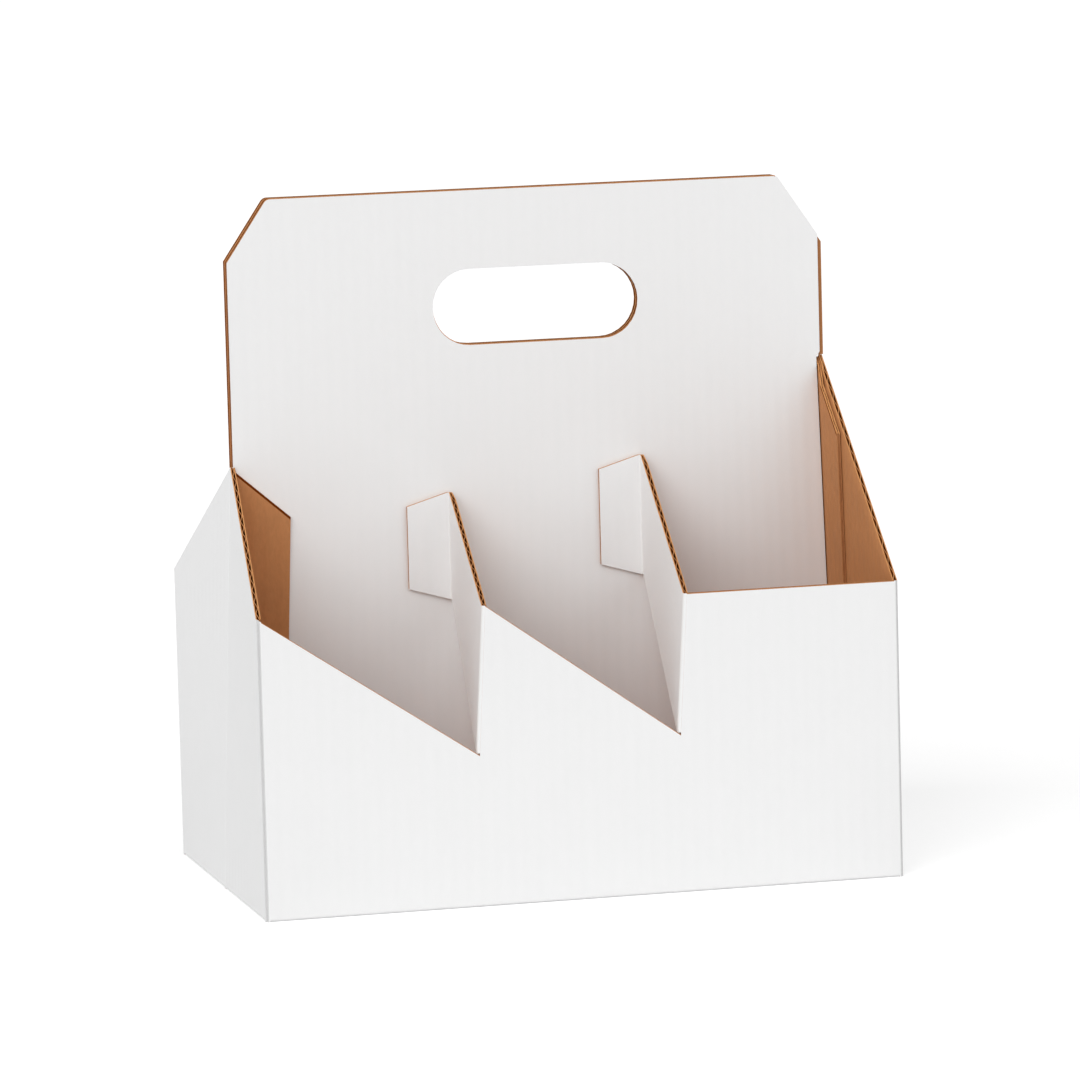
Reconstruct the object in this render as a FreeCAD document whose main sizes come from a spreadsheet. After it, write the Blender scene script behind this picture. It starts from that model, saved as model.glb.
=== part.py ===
import FreeCAD, Part
import os

import Sketcher

# Six-cell bottle carrier folded from corrugated board.
# Frame: origin at the middle of the footprint, +X along the long front wall, +Y to the back,
# +Z up.  The white liner faces outwards, the brown liner inwards.
# Two pieces: the folded body, and the second ply glued behind its handle panel.

SIZES = [
    ("board", 2.8),               # thickness of the single-wall board
    ("pinched_board", 1.4),       # board rolled flat, at a score line or in a glue tab
    ("glue_line", 0.2),           # gap between two faces that are glued together
    ("corner_round", 2.2),        # outside radius of the four upright corner folds
    ("base_round", 1.6),          # outside radius of the folds under the long walls
    ("score_half", 3.2),          # half the width of the flattened strip on a score line
    ("score_run", 6.8),           # length over which the board thins towards that strip
    ("box_length", 264.0),        # outside, along X
    ("box_depth", 166.0),         # outside, along Y
    ("corner_height", 121.0),     # top of the corners and of the teeth in the long walls
    ("left_peak", 172.0),         # gable peak of the left end wall
    ("right_peak", 205.0),        # gable peak of the right end wall
    ("left_lean", 9.0),           # how far the left peak leans inwards
    ("right_lean", 5.5),          # how far the right peak leans inwards
    ("first_notch", 62.0),        # height of the foot of the first divider's fold
    ("second_notch", 65.0),       # height of the foot of the second divider's fold
    ("first_hinge", 91.3),        # top of the first divider's fold, from the left outside
    ("second_hinge", 174.3),      # top of the second divider's fold, from the left outside
    ("hinge_lean", 3.8),          # how far a fold's foot stands to the left of its top
    ("first_rise", 36.0),         # rise of the first divider's top edge to the handle panel
    ("second_rise", 47.0),        # rise of the second divider's top edge
    ("first_drift", 6.5),         # sideways run of the first divider, from fold to glue tab
    ("second_drift", 4.5),        # sideways run of the second divider
    ("divider_tab", 17.0),        # width of a divider's glue tab
    ("tab_taper", 5.0),           # how far a tab's free edge is cut back at each end
    ("handle_top", 280.0),        # top edge of the handle panel
    ("handle_right", 256.8),      # right edge of the front ply, from the left outside
    ("back_overhang", 1.1),       # how far the back ply shows past the front ply
    ("shoulder_rise", 1.5),       # height of the plies' shoulders above the right gable peak
    ("shoulder_cut", 2.4),        # height of the slanted nick under each shoulder
    ("shoulder_lap", 2.5),        # how far the front ply's left shoulder reaches into its wall
    ("bevel_across", 17.0),       # cut-off top corners of the handle panel, along X
    ("bevel_down", 25.0),         # the same, along Z
    ("bevel_round", 3.0),         # rounding of the outline at the ends of each bevel
    ("slot_length", 86.0),        # hand hole, over its round ends
    ("slot_height", 30.6),        # hand hole, along Z
    ("slot_drop", 32.4),          # from the top edge down to the hand hole
    ("slot_middle", 136.7),       # middle of the hand hole, from the left outside
    ("seam_tab", 25.0),           # width of the glue tab at the left seam
    ("seam_slope", 21.0),         # drop of the seam tab's top edge over its width
    ("wall_tab", 26.0),           # reach of the glue tab on the right end wall
    ("tab_drop", 1.5),            # how far a tab's top lies under the edge of its wall
    ("tab_foot", 9.0),            # height of the lower ends of the seam and wall tabs
    ("side_gap", 0.4),            # clearance between the plies' edges and what they pass
    ("minor_flap", 60.0),         # reach of the end walls' bottom flaps
    ("minor_set", 5.0),           # distance of the end walls' bottom flaps from the corners
    ("ramp_start", 3.0),          # flat run of an end flap before it climbs over the others
    ("ramp_run", 11.0),           # length of that climb
    ("flap_gap", 1.0),            # gap between neighbouring bottom flaps
    ("interlock", 12.0),          # how far the long flaps reach past the middle plane
    ("interlock_half", 20.0),     # half the length of the slanted step between them
    ("panel_foot", 0.6),          # gap between the flaps and the lower edge of both plies
]

doc = FreeCAD.newDocument("bottle_carrier")
sheet = doc.addObject("Spreadsheet::Sheet", "sizes")
for row, (alias, value) in enumerate(SIZES, start=1):
    sheet.set("A%d" % row, alias)
    sheet.set("B%d" % row, str(value))
    sheet.setAlias("B%d" % row, alias)
doc.recompute()
ALIASES = {alias for alias, value in SIZES}

# Places that several features share, written as expressions of the sizes.
PLY_BACK = "(glue_line / 2)"                                # glued face of a handle ply
PLY_FACE = "(board + glue_line / 2)"                        # its open face
TAB_FACE = "(board + glue_line * 3 / 2)"                    # glued face of a tab on a ply
TAB_OPEN = "(board + glue_line * 3 / 2 + pinched_board)"    # open face of that tab
WALL_END = "(box_depth / 2 - board)"                        # where an end wall leaves a corner
FULL_EDGE = "(score_half + score_run)"                      # the board is full again from here
RAMP_END = "(box_length / 2 - board - ramp_start - ramp_run)"
FLAP_TOP = "(board * 2 + glue_line)"
PLY_FOOT = "(board * 2 + glue_line + panel_foot)"


def bound(text):
    """The expression with each size's name pointed at the sheet."""
    parts = []
    word = ""
    for letter in text + " ":
        if letter.isalnum() or letter == "_":
            word += letter
        else:
            parts.append("sizes." + word if word in ALIASES else word)
            parts.append(letter)
            word = ""
    return "".join(parts).strip()


def value_of(text):
    """The number that an expression of the sizes comes to."""
    return float(sheet.evalExpression(bound(text)))


# ---- sketches and the three ways a panel is made ----

def origin_part(body, role):
    return next(item for item in body.Origin.OriginFeatures if item.Role == role)


def new_sketch(body, name, role, offset):
    """A sketch on one of the body's own origin planes, moved along the plane's normal."""
    sketch = body.newObject("Sketcher::SketchObject", name)
    sketch.AttachmentSupport = [(origin_part(body, role), "")]
    sketch.MapMode = "FlatFace"
    sketch.setExpression("AttachmentOffset.Base.z", bound(offset))
    return sketch


def pin(sketch, kind, geometry, point, text, name):
    """Hold one coordinate of a sketch point at an expression of the sizes."""
    rule = Sketcher.Constraint(kind, -1, 1, geometry, point, value_of(text))
    sketch.renameConstraint(sketch.addConstraint(rule), name)
    sketch.setExpression("Constraints." + name, bound(text))


def add_lines(sketch, corners, closed):
    """Straight lines through the corners, each corner a pair of expressions."""
    points = [FreeCAD.Vector(value_of(a), value_of(b), 0) for a, b in corners]
    count = len(points) if closed else len(points) - 1
    for i in range(count):
        sketch.addGeometry(Part.LineSegment(points[i], points[(i + 1) % len(points)]), False)
    for i in range(count - 1):
        sketch.addConstraint(Sketcher.Constraint("Coincident", i, 2, i + 1, 1))
    if closed:
        sketch.addConstraint(Sketcher.Constraint("Coincident", count - 1, 2, 0, 1))
    for i, (across, up) in enumerate(corners):
        line, end = (i, 1) if i < count else (count - 1, 2)
        pin(sketch, "DistanceX", line, end, across, "across_%d" % i)
        pin(sketch, "DistanceY", line, end, up, "up_%d" % i)
    return count


def add_arc(sketch, centre, radius, first_angle, last_angle, start, end):
    """A round stretch between two line ends, given as (line, point)."""
    middle = FreeCAD.Vector(value_of(centre[0]), value_of(centre[1]), 0)
    circle = Part.Circle(middle, FreeCAD.Vector(0, 0, 1), value_of(radius))
    arc = sketch.addGeometry(Part.ArcOfCircle(circle, first_angle, last_angle), False)
    sketch.addConstraint(Sketcher.Constraint("Coincident", arc, 1, start[0], start[1]))
    sketch.addConstraint(Sketcher.Constraint("Coincident", arc, 2, end[0], end[1]))
    pin(sketch, "DistanceX", arc, 3, centre[0], "centre_%d" % arc)


def padded(body, name, sketch, thickness, backwards=False):
    pad = body.newObject("PartDesign::Pad", name)
    pad.Profile = sketch
    pad.setExpression("Length", bound(thickness))
    pad.Reversed = backwards
    return pad


def flat_plate(body, name, foot, thickness, corners):
    """A level panel with its underside at Z = foot; corners are (X, Y)."""
    sketch = new_sketch(body, name + "_outline", "XY_Plane", foot)
    add_lines(sketch, corners, closed=True)
    return padded(body, name, sketch, thickness)


def standing_plate(body, name, front, thickness, corners):
    """A panel parallel to the long walls, from Y = front backwards; corners are (X, Z)."""
    sketch = new_sketch(body, name + "_outline", "XZ_Plane", "-(%s)" % front)
    add_lines(sketch, corners, closed=True)
    return padded(body, name, sketch, thickness, backwards=True)


def ruled_panel(body, name, sections):
    """A panel that leans or twists: straight lines joined between upright sections.

    Each section is its place along Y and its four corners (X, Z).
    """
    sketches = []
    for i, (place, corners) in enumerate(sections):
        sketch = new_sketch(body, "%s_section_%d" % (name, i), "XZ_Plane", "-(%s)" % place)
        add_lines(sketch, corners, closed=True)
        sketches.append(sketch)
    loft = body.newObject("PartDesign::AdditiveLoft", name)
    loft.Profile = sketches[0]
    loft.Sections = sketches[1:]
    loft.Ruled = True
    return loft


def fold_block(body, name, role, offset, length, outer, inward, radius):
    """The solid of a fold: a square of one board's thickness with its outer corner round.

    outer is the sharp outside corner, inward the signs that point from it into the board.
    """
    (x, y), (sx, sy) = outer, inward
    corners = [("%s + %d * %s" % (x, sx, radius), y), ("%s + %d * board" % (x, sx), y),
               ("%s + %d * board" % (x, sx), "%s + %d * board" % (y, sy)),
               (x, "%s + %d * board" % (y, sy)), (x, "%s + %d * %s" % (y, sy, radius))]
    sketch = new_sketch(body, name + "_outline", role, offset)
    last = add_lines(sketch, corners, closed=False) - 1
    centre = ("%s + %d * %s" % (x, sx, radius), "%s + %d * %s" % (y, sy, radius))
    quarter = {(1, 1): 2, (-1, 1): 3, (-1, -1): 0, (1, -1): 1}[(sx, sy)]
    right_angle = 1.5707963267948966
    ends = ((last, 2), (0, 1)) if sx * sy > 0 else ((0, 1), (last, 2))
    add_arc(sketch, centre, radius, quarter * right_angle, (quarter + 1) * right_angle, *ends)
    return padded(body, name, sketch, length)


def half_turn_copy(body, name, features):
    """The same features again, turned half a turn about the upright axis."""
    pattern = body.newObject("PartDesign::PolarPattern", name)
    pattern.Originals = features
    pattern.Axis = (origin_part(body, "Z_Axis"), [""])
    pattern.Angle = 360
    pattern.Occurrences = 2
    body.Tip = pattern
    return pattern


def hand_hole(body, name):
    """The stadium-shaped hand hole, right through the ply."""
    sketch = new_sketch(body, name + "_outline", "XZ_Plane", "0")
    middle = "slot_middle - box_length / 2"
    left = "%s - (slot_length - slot_height) / 2" % middle
    right = "%s + (slot_length - slot_height) / 2" % middle
    top = "handle_top - slot_drop"
    foot = "handle_top - slot_drop - slot_height"
    level = "handle_top - slot_drop - slot_height / 2"
    points = [[FreeCAD.Vector(value_of(x), value_of(z), 0) for x in (left, right)]
              for z in (foot, top)]
    sketch.addGeometry(Part.LineSegment(points[0][0], points[0][1]), False)
    sketch.addGeometry(Part.LineSegment(points[1][1], points[1][0]), False)
    pin(sketch, "DistanceX", 0, 1, left, "foot_left")
    pin(sketch, "DistanceY", 0, 1, foot, "foot_level")
    pin(sketch, "DistanceX", 0, 2, right, "foot_right")
    pin(sketch, "DistanceY", 0, 2, foot, "foot_level_right")
    pin(sketch, "DistanceX", 1, 1, right, "top_right")
    pin(sketch, "DistanceY", 1, 1, top, "top_level_right")
    pin(sketch, "DistanceX", 1, 2, left, "top_left")
    pin(sketch, "DistanceY", 1, 2, top, "top_level")
    right_angle = 1.5707963267948966
    add_arc(sketch, (right, level), "slot_height / 2", -right_angle, right_angle, (0, 2), (1, 1))
    add_arc(sketch, (left, level), "slot_height / 2", right_angle, 3 * right_angle,
            (1, 2), (0, 1))
    hole = body.newObject("PartDesign::Pocket", name)
    hole.Profile = sketch
    hole.Type = "ThroughAll"
    hole.Midplane = True
    return hole


def rounded_edges(body, name, base, radius, wanted):
    """Fillet every edge that the test picks out."""
    doc.recompute()
    names = ["Edge%d" % (i + 1) for i, edge in enumerate(base.Shape.Edges) if wanted(edge)]
    fillet = body.newObject("PartDesign::Fillet", name)
    fillet.Base = (base, names)
    fillet.setExpression("Radius", bound(radius))
    return fillet


# ---- long walls, their folds, flaps and dividers (the front set; the back is its half turn) ----

def cut_slope(notch, from_edge, hinge):
    """Steepness of a sloping cut from the top at from_edge down to a divider's fold."""
    return "((corner_height - %s) / (%s - hinge_lean - (%s)))" % (notch, hinge, from_edge)


DIVIDERS = [
    {"name": "first_divider", "notch": "first_notch", "hinge": "first_hinge",
     "rise": "first_rise", "drift": "first_drift",
     "slope": cut_slope("first_notch", "board", "first_hinge")},
    {"name": "second_divider", "notch": "second_notch", "hinge": "second_hinge",
     "rise": "second_rise", "drift": "second_drift",
     "slope": cut_slope("second_notch", "first_hinge", "second_hinge")},
]


def front_wall(body):
    """The wall with its two sloping cuts; each tooth ends at a divider's fold."""
    left = "-box_length / 2"
    corners = [(left + " + board", "board"), ("box_length / 2 - board", "board"),
               ("box_length / 2 - board", "corner_height")]
    for divider in reversed(DIVIDERS):
        hinge = "%s + %s" % (left, divider["hinge"])
        corners.append((hinge, "corner_height"))
        corners.append((hinge + " - hinge_lean", divider["notch"]))
    corners.append((left + " + board", "corner_height"))
    return standing_plate(body, "front_wall", "-box_depth / 2", "board", corners)


def front_folds(body):
    """Upright folds at both front corners and the fold of the long bottom flap."""
    folds = []
    for name, side in (("front_left_fold", -1), ("front_right_fold", 1)):
        outer = ("%d * box_length / 2" % side, "-box_depth / 2")
        folds.append(fold_block(body, name, "XY_Plane", "0", "corner_height", outer,
                                (-side, 1), "corner_round"))
    outer = ("-box_depth / 2", "0")
    folds.append(fold_block(body, "front_base_fold", "YZ_Plane", "board - box_length / 2",
                            "box_length - 2 * board", outer, (1, 1), "base_round"))
    return folds


def front_flap(body):
    """The long bottom flap; its free edge steps past the back one's on the middle line."""
    end = "(%s - side_gap)" % RAMP_END
    near = "-%s - board / 2" % WALL_END
    low = "-interlock - flap_gap / 2"
    high = "interlock - flap_gap / 2"
    corners = [("-" + end, near), (end, near), (end, low), ("interlock_half", low),
               ("-interlock_half", high), ("-" + end, high)]
    return flat_plate(body, "front_flap", "0", "board", corners)


def divider(body, sizes):
    """A strip struck out of the wall, folded back to the handle panel, with its glue tab."""
    hinge = "(%s - box_length / 2)" % sizes["hinge"]
    end = "(%s + %s)" % (hinge, sizes["drift"])
    run = "(%s - %s)" % (WALL_END, TAB_OPEN)
    low = "(%s + %s * %s)" % (sizes["notch"], sizes["slope"], run)
    high = "(corner_height + %s)" % sizes["rise"]
    near = [(hinge + " - hinge_lean", sizes["notch"]),
            (hinge + " - hinge_lean + board", sizes["notch"]),
            (hinge + " + board", "corner_height"), (hinge, "corner_height")]
    far = [(end, low), (end + " + board", low), (end + " + board", high), (end, high)]
    strip = ruled_panel(body, sizes["name"], [("-" + WALL_END, near), ("-" + TAB_OPEN, far)])
    free = end + " - divider_tab"
    corners = [(end + " + board", low), (end + " + board", high), (end, high),
               (free, high + " - tab_taper"), (free, low + " + tab_taper"), (end, low)]
    tab = standing_plate(body, sizes["name"] + "_tab", "-" + TAB_OPEN, "pinched_board", corners)
    return [strip, tab]


# ---- end walls: gables that lean inwards, rolled thin along their middle score line ----

def gable_section(side, share, thickness, lean, peak):
    """Section of an end wall; share runs from 0 at a corner to 1 at the peak."""
    foot = "%d * box_length / 2" % side
    tip = "%d * (box_length / 2 - %s * %s)" % (side, lean, share)
    rise = "corner_height + (%s - corner_height) * %s" % (peak, share)
    return [(foot, "0"), ("%s - %d * %s" % (foot, side, thickness), "0"),
            ("%s - %d * %s" % (tip, side, thickness), rise), (tip, rise)]


def end_panel(body, name, side, corner, top, stops, lean, peak):
    """A gabled panel between two upright folds; top is where along Y it is highest."""
    sections = []
    for place, thickness in stops:
        share = "((%s - (%s)) / (%s - (%s)))" % (place, corner, top, corner)
        sections.append((place, gable_section(side, share, thickness, lean, peak)))
    return ruled_panel(body, name, sections)


def left_walls(body):
    """The two halves of the left end wall, which meet at the seam."""
    seam = "-" + TAB_FACE
    stops = [("-" + WALL_END, "board"), ("-%s - score_run" % TAB_OPEN, "board"),
             ("-" + TAB_OPEN, "pinched_board"), (seam, "pinched_board")]
    end_panel(body, "left_front_half", -1, "-" + WALL_END, seam, stops, "left_lean",
              "left_peak")
    seam = "-" + PLY_FACE
    stops = [(WALL_END, "board"), (FULL_EDGE, "board"), ("score_half", "pinched_board"),
             (seam, "pinched_board")]
    end_panel(body, "left_back_half", -1, WALL_END, seam, stops, "left_lean", "left_peak")


def right_wall(body):
    """The right end wall, whole, in two features that share the middle section."""
    for name, sign in (("right_front_half", "-"), ("right_back_half", "")):
        corner = sign + WALL_END
        stops = [(corner, "board"), (sign + FULL_EDGE, "board"),
                 (sign + "score_half", "pinched_board"), ("0", "pinched_board")]
        end_panel(body, name, 1, corner, "0", stops, "right_lean", "right_peak")


def end_flaps(body):
    """Bottom flaps of the end walls: folded in, then up and over the long flaps."""
    wall = "(box_length / 2 - pinched_board / 2)"
    start = "(box_length / 2 - board - ramp_start)"
    free = "(box_length / 2 - board - minor_flap)"
    under = "(board + glue_line)"
    band = [(wall, "0"), (start, "0"), (RAMP_END, under), (free, under),
            (free, FLAP_TOP), (RAMP_END, FLAP_TOP), (start, "board"), (wall, "board")]
    far = "(%s - minor_set)" % WALL_END
    half = "flap_gap / 2"
    strips = [("left_front_flap", "-", "-" + far, "-%s - %s" % (TAB_FACE, half)),
              ("left_back_flap", "-", "-%s + %s" % (PLY_FACE, half), far),
              ("right_front_flap", "", "-" + far, "-" + half),
              ("right_back_flap", "", half, far)]
    for name, sign, near, last in strips:
        corners = [(sign + x, z) for x, z in band]
        standing_plate(body, name, near, "%s - (%s)" % (last, near), corners)


# ---- handle panel: the front ply is one with the body, the back ply is its own piece ----

def wall_line(side, lean, peak, height, inset):
    """X of an end wall's outer face at a height on its peak line, moved inwards by inset."""
    return "%d * (box_length / 2 - %s * %s / %s - (%s))" % (side, lean, height, peak, inset)


def ply_outline(left_inset, left_height, right_inset, right_edge):
    """Outline shared by both plies; the insets say where each passes the end walls."""
    left = "(left_lean - box_length / 2)"
    right = "(%s - box_length / 2)" % right_edge
    shoulder = "(right_peak + shoulder_rise)"
    nick = "(right_peak + shoulder_rise - shoulder_cut)"
    return [
        (wall_line(-1, "left_lean", "left_peak", PLY_FOOT, left_inset), PLY_FOOT),
        (wall_line(1, "right_lean", "right_peak", PLY_FOOT, right_inset), PLY_FOOT),
        (wall_line(1, "right_lean", "right_peak", nick, right_inset), nick),
        (right, shoulder), (right, "handle_top - bevel_down"),
        (right + " - bevel_across", "handle_top"), (left + " + bevel_across", "handle_top"),
        (left, "handle_top - bevel_down"), (left, left_height),
        (wall_line(-1, "left_lean", "left_peak", left_height, left_inset), left_height)]


def front_ply(body):
    """The handle panel's front ply; its left edge is folded from the left end wall."""
    wall_tab_open = "(pinched_board * 2 + glue_line)"
    corners = ply_outline("pinched_board / 2", "(left_peak - shoulder_lap)",
                          "(%s + side_gap)" % wall_tab_open, "handle_right")
    return standing_plate(body, "front_ply", "-" + PLY_FACE, "board", corners)


def seam_tab(body):
    """Glue tab that closes the left seam, on the front ply's white face."""
    def edge(height, reach):
        return wall_line(-1, "left_lean", "left_peak", height, "pinched_board / 2 + " + reach)
    top = "(left_peak - tab_drop)"
    low = "(tab_foot + seam_slope / 2)"
    corners = [(edge("tab_foot", "0"), "tab_foot"), (edge(low, "seam_tab"), low),
               (edge(top, "seam_tab"), top + " - seam_slope"), (edge(top, "0"), top)]
    return standing_plate(body, "seam_tab", "-" + TAB_OPEN, "pinched_board", corners)


def wall_tab(body):
    """Glue tab folded forward from the back ply onto the right end wall's inner face."""
    sections = []
    for place, thickness in (("-wall_tab", "board"), ("-" + FULL_EDGE, "board"),
                             ("-score_half", "pinched_board"), (PLY_FACE, "pinched_board")):
        share = "((%s - abs(%s)) / %s)" % (WALL_END, place, WALL_END)
        peak = "(corner_height + (right_peak - corner_height) * %s)" % share
        top = "(%s - tab_drop)" % peak
        lean = "(right_lean * %s)" % share
        inset = "(%s + glue_line)" % thickness
        low = "(tab_foot + seam_slope / 2 * (%s - (%s)) / (%s + wall_tab))" % (
            PLY_FACE, place, PLY_FACE)
        sections.append((place, [
            (wall_line(1, lean, peak, low, inset), low),
            (wall_line(1, lean, peak, low, inset + " + pinched_board"), low),
            (wall_line(1, lean, peak, top, inset + " + pinched_board"), top),
            (wall_line(1, lean, peak, top, inset), top)]))
    return ruled_panel(body, "wall_tab", sections)


def beveled(body, base):
    """Round the outline at both ends of each bevel."""
    top = value_of("handle_top")
    low = value_of("handle_top - bevel_down")

    def wanted(edge):
        first, last = edge.Vertexes[0].Point, edge.Vertexes[-1].Point
        across = abs(first.y - last.y) > value_of("board") / 2
        level = abs(first.z - last.z) < 1e-6
        return across and level and min(abs(first.z - top), abs(first.z - low)) < 1e-6

    return rounded_edges(body, body.Name + "_bevels", base, "bevel_round", wanted)


def carrier_body():
    body = doc.addObject("PartDesign::Body", "carrier_body")
    body.AllowCompound = True
    front = [front_wall(body)] + front_folds(body) + [front_flap(body)]
    for sizes in DIVIDERS:
        front += divider(body, sizes)
    half_turn_copy(body, "back_set", front)
    left_walls(body)
    right_wall(body)
    front_ply(body)
    seam_tab(body)
    end_flaps(body)
    beveled(body, hand_hole(body, "hand_hole"))
    return body


def handle_back_ply():
    body = doc.addObject("PartDesign::Body", "handle_back_ply")
    corners = ply_outline("(pinched_board + side_gap)", "(left_peak + side_gap)",
                          "(pinched_board * 3 / 2 + glue_line)",
                          "(handle_right + back_overhang)")
    standing_plate(body, "back_ply", PLY_BACK, "board", corners)
    wall_tab(body)
    beveled(body, hand_hole(body, "back_hand_hole"))
    return body


def check(parts):
    """Stop unless every feature recomputed and every piece is one sound solid."""
    failed = [item.Name for item in doc.Objects if {"Invalid", "Error"} & set(item.State)]
    for part in parts:
        shape = part.Shape
        print(part.Label, "solids", len(shape.Solids), "valid", shape.isValid(),
              "volume %.0f mm3" % shape.Volume, "faces", len(shape.Faces))
        if shape.isNull() or not shape.isValid() or len(shape.Solids) != 1:
            failed.append(part.Label)
    if failed:
        raise RuntimeError("failed: " + ", ".join(failed))


pieces = [carrier_body(), handle_back_ply()]
doc.recompute()
check(pieces)
os.makedirs("parts", exist_ok=True)
for piece in pieces:
    piece.Shape.exportStep("parts/%s.step" % piece.Label)
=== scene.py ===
from math import copysign, cos, pi, radians, sin, sqrt, tan

import bpy
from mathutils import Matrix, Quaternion, Vector


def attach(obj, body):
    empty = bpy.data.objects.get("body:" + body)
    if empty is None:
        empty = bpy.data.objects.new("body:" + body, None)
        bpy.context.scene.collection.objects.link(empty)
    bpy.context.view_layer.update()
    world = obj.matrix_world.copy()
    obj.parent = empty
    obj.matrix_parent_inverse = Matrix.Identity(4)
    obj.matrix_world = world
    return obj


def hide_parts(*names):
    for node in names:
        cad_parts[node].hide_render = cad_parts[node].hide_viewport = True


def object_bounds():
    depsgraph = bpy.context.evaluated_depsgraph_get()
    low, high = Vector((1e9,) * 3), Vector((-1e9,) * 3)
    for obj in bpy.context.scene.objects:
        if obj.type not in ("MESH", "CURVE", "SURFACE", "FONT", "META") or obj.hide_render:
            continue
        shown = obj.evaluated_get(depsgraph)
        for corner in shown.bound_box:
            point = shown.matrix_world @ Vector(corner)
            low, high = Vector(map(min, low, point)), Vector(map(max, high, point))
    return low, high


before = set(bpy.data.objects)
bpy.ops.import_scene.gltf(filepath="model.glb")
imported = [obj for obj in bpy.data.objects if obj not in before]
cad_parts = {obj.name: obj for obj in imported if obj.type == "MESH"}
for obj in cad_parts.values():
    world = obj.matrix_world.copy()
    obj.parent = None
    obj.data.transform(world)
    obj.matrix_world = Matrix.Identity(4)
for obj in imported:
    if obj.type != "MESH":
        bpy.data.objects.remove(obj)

bl_info = {
    "name": "Bottle carrier board",
    "version": (1, 0, 0),
    "blender": (4, 5, 0),
    "location": "View3D > Sidebar > Carrier",
    "description": "Builds a folded bottle carrier from white-faced corrugated board",
    "category": "Object",
}

CAD_LOW, CAD_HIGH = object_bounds()
HALF_LENGTH = CAD_HIGH[0]
HALF_DEPTH = CAD_HIGH[1]
HANDLE_TOP = CAD_HIGH[2]

STEP = 0.00001          # width of an upright step in an outline
SKIN_STEP = 0.006       # most that two stations of a liner stand apart
FLUTE_STATIONS = 8      # stations on one flute
SHARP = radians(28)     # edges that turn by more stay sharp

SIDE_GAP = 0.0004       # clearance between a ply's edges and the folds beside them
BEND = 0.060            # width over which a ply's leaning edges bend
FOLD_FOOT = 0.0003      # lower end of the folds at the left seam
TAB_FOOT = 0.009        # lower end of the seam tab and the wall tab, at their folds
SEAM_DROP = 0.0003      # the seam tab's top, under the left peak
TAB_DROP = 0.0010       # the wall tab's top edge, under the edge of its wall
TAB_ROUND = 0.0009      # outside radius of the wall tab's fold
LIFT_RUN = 0.04         # height over which the wall tab lifts off the wall
SCORE_HALF = 0.0032     # half the width of the flat strip on an end wall's score line
SCORE_MARK = 0.0055     # extra station between the flat strip and the full board
SCORE_END = 0.010       # distance from that line where the board is full again
INNER_ROUND = 0.0005    # outside radius of the fold at a divider's tab
PINCH_RUN = 0.005       # length over which a divider thins towards its tab
FOLD_MARK = 0.004       # extra station of a divider beside its fold in the wall
PRESS_BELOW = 0.001     # how far the pressed strip of a divider's fold goes past its foot
NOTCH_ROW = 0.005       # row of points under the first notch
GROOVE_HALF = 0.155     # half the width of a corner's groove, as a share of the turn
GROOVE_MIDDLE = 0.08    # point halfway up the groove's sides, as a share of the turn
FLAP_SET = 0.005        # distance of the end walls' flaps from the corners
FLAP_CUT = 0.0005       # half the width of the cut between two end flaps
CLIMB_START = 0.0042    # run of an end flap before it climbs over the long flaps
CLIMB_END = 0.0152      # run after that climb
FLAP_HALF = 0.1148      # half the length of a long flap
LOCK_HALF = 0.020       # half the length of the slanted step between the long flaps
LOCK_REACH = (0.0115, -0.0125)  # how far a long flap goes past the middle, before and after

FLOOR_LOW, FLOOR_HIGH = (-12, -6), (12, 20)
FLOOR_GLOW = 0.3        # light that the floor adds for the camera alone
KEY_PLACE, KEY_SPREAD = (-1.75, -1.9, 1.9), radians(50)
FILL_PLACE, FILL_SPREAD = (1.9, -1.2, 1.6), radians(70)
AIM = (0.0047, 0.0, 0.1347)  # point that the camera looks at
SENSOR = 36.0
FAR_CLIP = 100.0


# ---- sizes and colours that a user would change ----

def length(name, description, default):
    return bpy.props.FloatProperty(name=name, description=description, default=default,
                                   unit="LENGTH", subtype="DISTANCE", precision=5)


def colour(name, description, default):
    return bpy.props.FloatVectorProperty(name=name, description=description, default=default,
                                         subtype="COLOR", size=3, min=0.0, max=1.0)


class CarrierBoardSettings(bpy.types.PropertyGroup):
    """The corrugated board itself."""
    board: length("Board", "Thickness of the corrugated board", 0.0028)
    pressed: length("Pressed board", "Thickness at a cut edge or in a corner fold", 0.0020)
    divider_edge: length("Divider edge", "Thickness at the cut edges of a divider", 0.0021)
    press_reach: length("Press reach", "How far from a cut or a fold the board is pressed", 0.006)
    pinched: length("Pinched board", "Board rolled flat at a score line or a glue tab", 0.0014)
    liner: length("Liner", "Thickness of each liner", 0.00042)
    medium: length("Medium", "Thickness of the fluted sheet between the liners", 0.00028)
    flute_pitch: length("Flute pitch", "Distance from one flute to the next", 0.0059)
    fringe: length("Fringe", "Bare fibres along the cut edge of the white liner", 0.0003)
    # width of the dark strip of painted shadow along the top of a tab's inner face
    painted_top_shadow: length("Torn edge", "Bare fluting along the top of a tab on an end wall", 0.0012)
    glue: length("Glue line", "Gap between two glued faces", 0.00004)
    corner_round: length("Corner round", "Outside radius of the upright corner folds", 0.0018)
    corner_groove: length("Corner groove", "Depth of the score line in a corner", 0.0005)
    # width of the grey strip of painted shade along a corner fold
    crease: length("Crease", "Width of the rubbed strip along a corner fold", 0.0018)
    seam_round: length("Seam round", "Radius of the sharp folds at the left seam", 0.0003)
    base_round: length("Base round", "Outside radius of the folds under the walls", 0.0014)


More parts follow.
